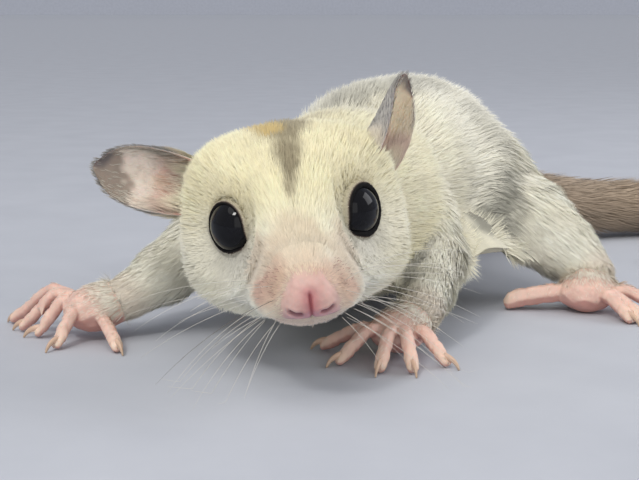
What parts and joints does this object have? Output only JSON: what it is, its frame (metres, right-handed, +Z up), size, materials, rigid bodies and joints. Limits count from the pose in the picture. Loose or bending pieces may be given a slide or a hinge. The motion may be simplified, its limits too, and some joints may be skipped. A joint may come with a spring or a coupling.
{
  "type": "sugar glider model",
  "caption": "Life-size model of a cream sugar glider crouching low with spread forelimbs, cupped ears, large dark eyes and a furred tail curled on the floor.",
  "frame": {"origin": "middle of the footprint of the whole model, on the floor under its hands, feet and tail", "axes": "+Z up from the floor, -Y the way the nose points, +X towards the animal's own left"},
  "size_m": [0.1604, 0.1398, 0.041],
  "materials": {
    "fur": "short dense fur, cream with grey-brown markings",
    "bare_skin": "soft pink bare skin, satin",
    "eye": "wet glossy black"
  },
  "bodies": {
    "root": {"head": "fur", "neck": "fur", "torso": "fur", "upper_arm_left": "fur", "forearm_left": "fur", "upper_arm_right": "fur", "forearm_right": "fur", "thigh_left": "fur", "shin_left": "fur", "thigh_right": "fur", "shin_right": "fur", "membrane_left": "fur", "membrane_right": "fur", "tail_1": "fur", "tail_2": "fur", "tail_3": "fur", "ear_left": "bare_skin", "ear_right": "bare_skin", "hand_left": "bare_skin", "hand_right": "bare_skin", "foot_left": "bare_skin", "foot_right": "bare_skin", "eye_left": "eye", "eye_right": "eye"}
  },
  "joints": []
}
